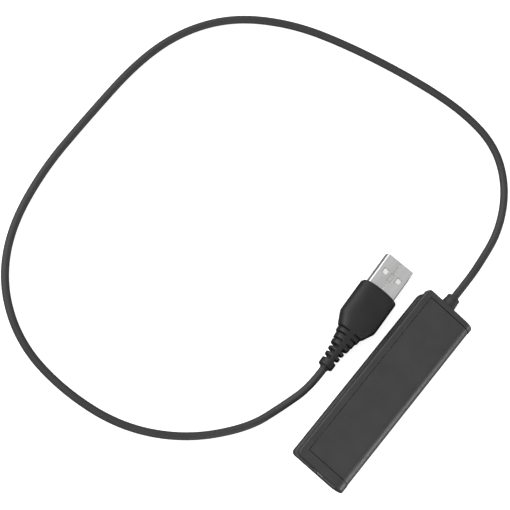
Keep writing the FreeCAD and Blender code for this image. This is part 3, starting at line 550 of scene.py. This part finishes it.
def metal(name, base, second, rough, lines=9000.0, depth=0.000004, wear_and_highlight=0.3):
    """A sheet or plated metal. base and second are its two shades, rough is (least, most)."""
    material = bpy.data.materials.new(name)
    material.use_nodes = True
    tree = material.node_tree
    shader = tree.nodes["Principled BSDF"]
    rolled = place_group(tree, ROLLED, Lines_per_metre=lines)
    rub_and_highlight = place_group(tree, EDGE_WEAR_AND_HIGHLIGHT, Width=0.00015)
    soft = place_group(tree, SOFT, Width=0.0001)
    seam_shade = place_group(tree, SEAM_SHADE, Reach=0.0003)
    shade = blend_colour(tree, rolled.outputs["Streaks"], base, second)
    bright = tuple(min(1.0, BRIGHT_GAIN * c) for c in base)
    shade = blend_colour(tree, scaled(tree, rub_and_highlight.outputs["Mask"], wear_and_highlight), shade, bright)
    # painted shade: closed-in seams and corners are darkened in the colour
    closed = scaled(tree, seam_shade.outputs["Mask"], METAL_SEAM_SHADE_STRENGTH)
    shade = blend_colour(tree, closed, shade, grey(METAL_SEAM_SHADE_GREY))
    tree.links.new(shade, shader.inputs["Base Color"])
    tree.links.new(blend_number(tree, rolled.outputs["Streaks"], *rough), shader.inputs["Roughness"])
    bump(tree, rolled.outputs["Height"], depth, shader, soft)
    shader.inputs["Metallic"].default_value = 1.0
    return material


print("metal recipe ready: seams darken by up to %.0f %%" % (100 * METAL_SEAM_SHADE_STRENGTH))


# %% [markdown]
# The case has three black finishes. The covers and the inlay are matte, with a fine grain. The
# band in the side is polished, so what little it reflects is sharp; its edges are lightened strongly
# as a painted highlight. The window is a smoked clear plastic, nearly black until a lamp is lit
# behind it.

# %% Finishes of the case
FINISH = {}
# the covers' edges are lightened: partly wear, partly a painted highlight
FINISH["case_matte"] = plastic("case_matte", grey(0.019), grey(0.023), (0.40, 0.48), wear_and_highlight=0.5, shine=0.42)
FINISH["panel_matte"] = plastic("panel_matte", grey(0.019), grey(0.023), (0.40, 0.48), grain=4500.0,
                                depth=0.000015, wear_and_highlight=0.3, shine=0.45)
FINISH["lower_matte"] = plastic("lower_matte", grey(0.014), grey(0.018), (0.42, 0.50), wear_and_highlight=0.4, shine=0.2)
# the strong edge lightening on the band is a painted highlight, not wear
FINISH["band_gloss"] = plastic("band_gloss", grey(0.008), grey(0.010), (0.06, 0.10), grain=1500.0,
                               depth=0.000003, wear_and_highlight=0.9, shine=0.9, Coat_Weight=0.6)
FINISH["smoked_window"] = plastic("smoked_window", grey(0.004), grey(0.005), (0.08, 0.14), grain=1200.0,
                                  depth=0.000002, wear_and_highlight=0.1, shine=0.15)
FINISH["button_gloss"] = plastic("button_gloss", grey(0.22), grey(0.26), (0.16, 0.24), grain=1500.0,
                                 depth=0.000003, wear_and_highlight=0.5)
print("case finishes:", ", ".join(FINISH))

# %% [markdown]
# The lead and its sleeves are soft. PVC and rubber are rougher than the case and have a blurred
# sheen. The grip's rubber is the darkest thing here. The lead's jacket is extruded, so its skin
# is smoother than a moulded one.

# %% Finishes of the lead and the plug
FINISH["cord_black"] = plastic("cord_black", grey(0.024), grey(0.029), (0.55, 0.62), grain=2500.0,
                               depth=0.00001, wear_and_highlight=0.0, shine=0.22)
FINISH["soft_black"] = plastic("soft_black", grey(0.018), grey(0.022), (0.50, 0.58), grain=3000.0, wear_and_highlight=0.3,
                               shine=0.3)
FINISH["boot_black"] = plastic("boot_black", grey(0.006), grey(0.009), (0.50, 0.58), grain=3200.0,
                               depth=0.000015, wear_and_highlight=0.3, shine=0.3)
FINISH["mould_white"] = plastic("mould_white", grey(0.62), grey(0.70), (0.45, 0.55), worn_and_highlit=grey(0.75))
FINISH["insulator_white"] = plastic("insulator_white", (0.56, 0.555, 0.54), (0.62, 0.615, 0.60), (0.35, 0.45),
                                    worn_and_highlit=grey(0.86), depth=0.00001)
FINISH["plug_steel"] = metal("plug_steel", (0.56, 0.56, 0.556), (0.62, 0.62, 0.616), (0.36, 0.46))
FINISH["gold_contact"] = metal("gold_contact", (0.83, 0.60, 0.26), (0.90, 0.68, 0.34), (0.18, 0.28))
print("lead and plug finishes added:", len(FINISH))

# %% [markdown]
# The pieces inside can't be seen while the case is shut, but each still gets its own finish, so
# that the model stays true when it is opened: green solder mask, black chip resin, tinned sheet
# and the four wire colours of every USB lead.

# %% Finishes inside the case
INSIDE_PLASTICS = {
    "clear_pipe": ((0.75, 0.78, 0.80), (0.80, 0.83, 0.85), (0.10, 0.16)),
    "led_body": ((0.70, 0.72, 0.60), (0.78, 0.80, 0.66), (0.25, 0.35)),
    "switch_black": (grey(0.018), grey(0.024), (0.40, 0.48)),
    "plunger_plastic": ((0.30, 0.24, 0.16), (0.36, 0.28, 0.19), (0.35, 0.45)),
    "board_green": ((0.010, 0.085, 0.030), (0.016, 0.110, 0.040), (0.28, 0.38)),
    "chip_black": (grey(0.016), grey(0.022), (0.45, 0.58)),
    "ferrite": (grey(0.050), grey(0.070), (0.60, 0.72)),
    "capacitor_body": ((0.36, 0.25, 0.15), (0.42, 0.30, 0.19), (0.40, 0.50)),
    "resistor_body": (grey(0.020), grey(0.028), (0.25, 0.35)),
    "wire_red": ((0.45, 0.015, 0.012), (0.52, 0.022, 0.018), (0.35, 0.45)),
    "wire_white": (grey(0.68), grey(0.74), (0.35, 0.45)),
    "wire_green": ((0.015, 0.22, 0.045), (0.022, 0.27, 0.058), (0.35, 0.45)),
    "wire_black": (grey(0.012), grey(0.016), (0.35, 0.45)),
}
INSIDE_METALS = {
    "tin_sheet": (grey(0.62), grey(0.68), (0.25, 0.38)),
    "crystal_can": (grey(0.66), grey(0.72), (0.18, 0.28)),
    "antenna_metal": ((0.72, 0.68, 0.58), (0.78, 0.74, 0.64), (0.22, 0.32)),
    "screw_steel": (grey(0.30), grey(0.36), (0.30, 0.42)),
    "solder": (grey(0.70), grey(0.76), (0.20, 0.34)),
}
for finish, (base, second, rough) in INSIDE_PLASTICS.items():
    FINISH[finish] = plastic(finish, base, second, rough, dust=0.0, depth=0.00001)
for finish, (base, second, rough) in INSIDE_METALS.items():
    FINISH[finish] = metal(finish, base, second, rough)
print("all finishes:", len(FINISH))

# %% [markdown]
# Every CAD piece is given its finish by name. The meshes stay as the CAD made them: only the
# material in their slot changes.

# %% Give the CAD pieces their finishes
PIECE_FINISH = {
    "top_cover": "case_matte", "bottom_cover": "lower_matte", "wrap_panel": "panel_matte",
    "side_band": "band_gloss", "led_window": "smoked_window", "wps_button": "button_gloss",
    "light_pipe": "clear_pipe", "link_led": "led_body", "switch_body": "switch_black",
    "switch_plunger": "plunger_plastic", "main_board": "board_green", "wifi_chip": "chip_black",
    "regulator_chip": "chip_black", "shield_frame": "tin_sheet", "shield_lid": "tin_sheet",
    "crystal": "crystal_can", "power_inductor": "ferrite", "chip_capacitors": "capacitor_body",
    "chip_resistors": "resistor_body", "antenna_left": "antenna_metal", "antenna_right": "antenna_metal",
    "case_screws": "screw_steel", "solder_joints": "solder", "strain_relief": "soft_black",
    "cable_jacket": "cord_black", "plug_boot": "boot_black", "plug_inner_mould": "mould_white",
    "plug_shell": "plug_steel", "plug_insulator": "insulator_white", "power_contacts": "gold_contact",
    "data_contacts": "gold_contact", "wire_red": "wire_red", "wire_white": "wire_white",
    "wire_green": "wire_green", "wire_black": "wire_black", "plug_wires": "wire_white",
}


def dress(piece, finish):
    """Puts one finish in every material slot of a piece."""
    if not piece.material_slots:
        piece.data.materials.append(FINISH[finish])
    for slot in piece.material_slots:
        slot.material = FINISH[finish]


for name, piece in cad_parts.items():
    dress(piece, PIECE_FINISH[name])
dress(lead, "cord_black")
print("dressed:", len(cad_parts) + 1)

# %% [markdown]
# The grip of the plug is one rubber moulding: a soft block that narrows to a ribbed tail, so that
# the lead bends in a wide curve. It could be a subdivided box, but its ribs need exact places, so
# it is a skin over cross-sections along its axis. Each section is a squared ellipse. Where a slot
# is cut, the sides of the section move in to a round core, and a narrow ridge along the top and
# bottom stays. The three grooves nearer the block are cut in the same way, but less deep.

# %% Sections of the plug's grip
PLUG_TURN = math.radians(3.1)
PLUG_PLACE = LEAD_ROUTE[-1]
GRIP_PROFILE = [  # along the axis from the lead: y, half width, half height, squareness (mm)
    (0.6, 2.60, 2.60, 2.0), (0.85, 2.86, 2.86, 2.0), (3.1, 2.90, 2.90, 2.0), (4.7, 2.90, 2.95, 2.1),
    (5.9, 3.02, 3.00, 2.2), (7.1, 3.12, 3.08, 2.3), (8.2, 3.22, 3.14, 2.4), (9.4, 3.58, 3.20, 2.5),
    (11.1, 3.74, 3.28, 2.6), (11.7, 3.98, 3.32, 2.6), (13.65, 4.14, 3.42, 2.7), (14.15, 4.62, 3.48, 2.8),
    (15.8, 4.80, 3.58, 2.8), (16.3, 5.05, 3.64, 2.8), (17.05, 5.62, 3.72, 2.9), (18.6, 6.34, 3.84, 3.0),
    (20.1, 7.11, 3.93, 3.1), (20.85, 7.50, 3.97, 3.1), (21.5, 7.65, 4.0, 3.1), (22.6, 7.70, 4.0, 3.2),
    (29.0, 7.70, 4.0, 3.2), (34.6, 7.70, 4.0, 3.3), (35.2, 7.62, 3.94, 3.3), (35.6, 7.38, 3.74, 3.3),
    (35.8, 6.95, 3.38, 3.4),
]
GRIP_SLOTS = [(3.35, 4.7), (5.9, 7.1), (8.2, 9.4)]
GRIP_GROOVES = [(11.1, 11.7), (13.65, 14.15), (15.8, 16.3)]
GROOVE_DEPTH = 0.9
SPINE_HALF = 0.9
CORE_RADIUS = 1.75
RIB_ROUND = 0.16
RIB_EDGE = [  # across the edge of a cut, from the rib to the gap: step (mm), how far cut in
    (-RIB_ROUND, 0.0), (-0.3 * RIB_ROUND, 0.06), (0.0, 0.2), (0.03, 0.92), (0.12, 1.0),
]
GRIP_HALF_WIDTH = max(row[1] for row in GRIP_PROFILE)
CROWN = 0.6              # how far the front face falls back at its sides
CROWN_START = 33.8
TOP_POINTS = 7
SIDE_POINTS = 23


def profile_at(profile, y):
    """Half width, half height and squareness of the grip at y, in a straight line between rows."""
    for low, high in zip(profile, profile[1:]):
        if low[0] <= y <= high[0]:
            share = (y - low[0]) / (high[0] - low[0])
            return [a + share * (b - a) for a, b in zip(low[1:], high[1:])]
    return list(profile[0][1:] if y < profile[0][0] else profile[-1][1:])


def squared_point(width, height, power, angle):
    """A point on a squared ellipse, by its angle."""
    c, s = math.cos(angle), math.sin(angle)
    x = width * math.copysign(abs(c) ** (2 / power), c)
    z = height * math.copysign(abs(s) ** (2 / power), s)
    return x, z


def edge_angle(width, power, x):
    """The angle at which the squared ellipse passes x, on its upper right part."""
    share = min(1.0, max(0.0, x / width))
    return math.acos(share ** (power / 2))


def section(y, width, height, power, narrow=0.0, depth=None):
    """Points round one section. narrow goes from 0, the full section, to 1, fully cut: in to the
    round core, or only by depth. The ridge along the top and bottom always stays."""
    half = SPINE_HALF
    top = []
    for i in range(TOP_POINTS):
        x = half * (1 - 2 * i / (TOP_POINTS - 1))
        angle = edge_angle(width, power, abs(x))
        top.append((x, squared_point(width, height, power, angle)[1]))
    shoulder = top[0][1]
    start = edge_angle(width, power, half)
    right = []
    for i in range(1, SIDE_POINTS + 1):
        share = i / (SIDE_POINTS + 1)
        full_x, full_z = squared_point(width, height, power, start * (1 - 2 * share))
        if depth is None:
            cut_z = shoulder * (1 - 2 * share)
            cut_x = max(half, math.sqrt(max(0.0, CORE_RADIUS ** 2 - cut_z ** 2)))
        else:
            cut_x, cut_z = max(half, full_x * (1 - depth / width)), full_z * (1 - depth / height)
        right.append((full_x + narrow * (cut_x - full_x), full_z + narrow * (cut_z - full_z)))
    bottom = [(x, -z) for x, z in reversed(top)]
    left = [(-x, z) for x, z in reversed(right)]
    loop = top[::-1] + right + bottom[::-1] + left
    return [(x, y, z) for x, z in loop]


print("points round the grip: %d" % len(section(20.0, 6.0, 4.0, 3.0)))

# %% [markdown]
# The skin joins one section to the next with four-sided faces. Each slot needs a few sections
# close together: two that round the rib's edge, then one that has moved in. The mouth at the
# front turns back inside, so that the steel sleeve seems to come out of a real hole.

# %% Mesh helpers
SHARP_FOLD = math.radians(40)


def skin_mesh(name, loops):
    """A closed mesh over loops of equally many points, smooth except at sharp folds."""
    count = len(loops[0])
    vertices = [point for loop in loops for point in loop]
    faces = []
    for row in range(len(loops) - 1):
        low, high = row * count, (row + 1) * count
        for i in range(count):
            j = (i + 1) % count
            faces.append((low + i, low + j, high + j, high + i))
    faces.append(tuple(range(count))[::-1])
    faces.append(tuple((len(loops) - 1) * count + i for i in range(count)))
    mesh = bpy.data.meshes.new(name)
    mesh.from_pydata(vertices, [], faces)
    tidy = bmesh.new()
    tidy.from_mesh(mesh)
    bmesh.ops.recalc_face_normals(tidy, faces=tidy.faces)
    tidy.to_mesh(mesh)
    tidy.free()
    mesh.shade_smooth()
    mesh.set_sharp_from_angle(angle=SHARP_FOLD)
    return mesh


def add_piece(name, mesh, finish, replaced):
    piece = bpy.data.objects.new(name, mesh)
    bpy.context.scene.collection.objects.link(piece)
    dress(piece, finish)
    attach(piece, "adapter")
    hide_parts(replaced)
    print("%s: %d faces" % (name, len(mesh.polygons)))
    return piece


def grip_stations():
    """Places along the grip, how far each is cut in, and the depth of its groove."""
    stations = [(row[0], 0.0, None) for row in GRIP_PROFILE]
    cuts = [(low, high, None) for low, high in GRIP_SLOTS]
    cuts += [(low, high, GROOVE_DEPTH) for low, high in GRIP_GROOVES]
    for low, high, depth in cuts:
        stations = [s for s in stations if not low - RIB_ROUND < s[0] < high + RIB_ROUND]
        for y, way in ((low, 1), (high, -1)):
            stations += [(y + way * step, narrow, depth) for step, narrow in RIB_EDGE]
    return sorted(stations, key=lambda station: station[0])


def crowned(loop):
    """The loop with its sides set back, more and more towards the front face."""
    front = GRIP_PROFILE[-1][0]
    back = CROWN * max(0.0, (loop[0][1] - CROWN_START) / (front - CROWN_START))
    return [(x, y - back * (x / GRIP_HALF_WIDTH) ** 2, z) for x, y, z in loop]


def grip_loops():
    loops = []
    for y, width, height, power in GRIP_TAIL:
        loops.append(section(y, width, height, power))
    for y, narrow, depth in grip_stations():
        loops.append(section(y, *profile_at(GRIP_PROFILE, y), narrow, depth))
    for y, width, height, power in GRIP_MOUTH:
        loops.append(section(y, width, height, power))
    return [crowned(loop) for loop in loops]


print("sections along the cut part of the grip: %d" % len(grip_stations()))

# %% [markdown]
# The tail of the grip hugs the lead, and its mouth turns back inside round the steel sleeve. Both
# are a few more sections at the ends of the same skin. The whole grip is then scaled from
# millimetres, turned as the plug lies on the table and moved to the end of the lead.

# %% The plug's grip
GRIP_TAIL = [  # y, half width, half height, squareness (mm)
    (-0.25, 1.50, 1.50, 2.0), (-0.1, 1.62, 1.62, 2.0), (0.1, 1.72, 1.72, 2.0), (0.5, 1.75, 1.75, 2.0),
]
GRIP_MOUTH = [
    (35.92, 6.35, 2.75, 4.0), (35.95, 6.12, 2.38, 8.0), (35.85, 6.05, 2.30, 9.0), (34.7, 6.05, 2.30, 9.0),
]
TO_PLUG = Matrix.Translation(PLUG_PLACE) @ Matrix.Rotation(PLUG_TURN, 4, "Z") @ Matrix.Scale(MM, 4)

grip_mesh = skin_mesh("plug_grip", grip_loops())
grip_mesh.transform(TO_PLUG)
plug_grip = add_piece("plug_grip", grip_mesh, "boot_black", "plug_boot")

# %% [markdown]
# The sleeve where the lead leaves the case is turned round one axis, so it is a lathe shape: a
# short profile of distance and radius, spun in equal steps. It narrows away from the case and
# ends in a small lip. Its inner part passes through the wall and swells to the flange that holds
# it.

# %% The sleeve at the case
SLEEVE_PROFILE_MM = [
    (-1.55, 2.10), (0.0, 2.10), (0.02, 2.95), (0.25, 2.95), (3.35, 2.62), (3.50, 2.46), (3.74, 2.44),
    (3.90, 2.60), (4.55, 2.55), (4.74, 2.42), (4.80, 2.05), (4.82, 1.60), (5.05, 1.47),
]
SLEEVE_STEPS = 64
case_top, sleeve_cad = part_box("top_cover"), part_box("strain_relief")
SLEEVE_PLACE = Vector((LEAD_ROUTE[0].x, case_top[1].y, LEAD_ROUTE[0].z))


def lathe_loops(profile, steps):
    """Circles along Y for each pair of distance and radius."""
    loops = []
    for y, radius in profile:
        turns = [2 * math.pi * i / steps for i in range(steps)]
        loops.append([(radius * math.cos(t), y, radius * math.sin(t)) for t in turns])
    return loops


sleeve_mesh = skin_mesh("lead_sleeve", lathe_loops(SLEEVE_PROFILE_MM, SLEEVE_STEPS))
sleeve_mesh.transform(Matrix.Translation(SLEEVE_PLACE) @ Matrix.Scale(MM, 4))
lead_sleeve = add_piece("lead_sleeve", sleeve_mesh, "soft_black", "strain_relief")
print("sleeve from y %.4f to %.4f" % (sleeve_cad[0].y, sleeve_cad[1].y))
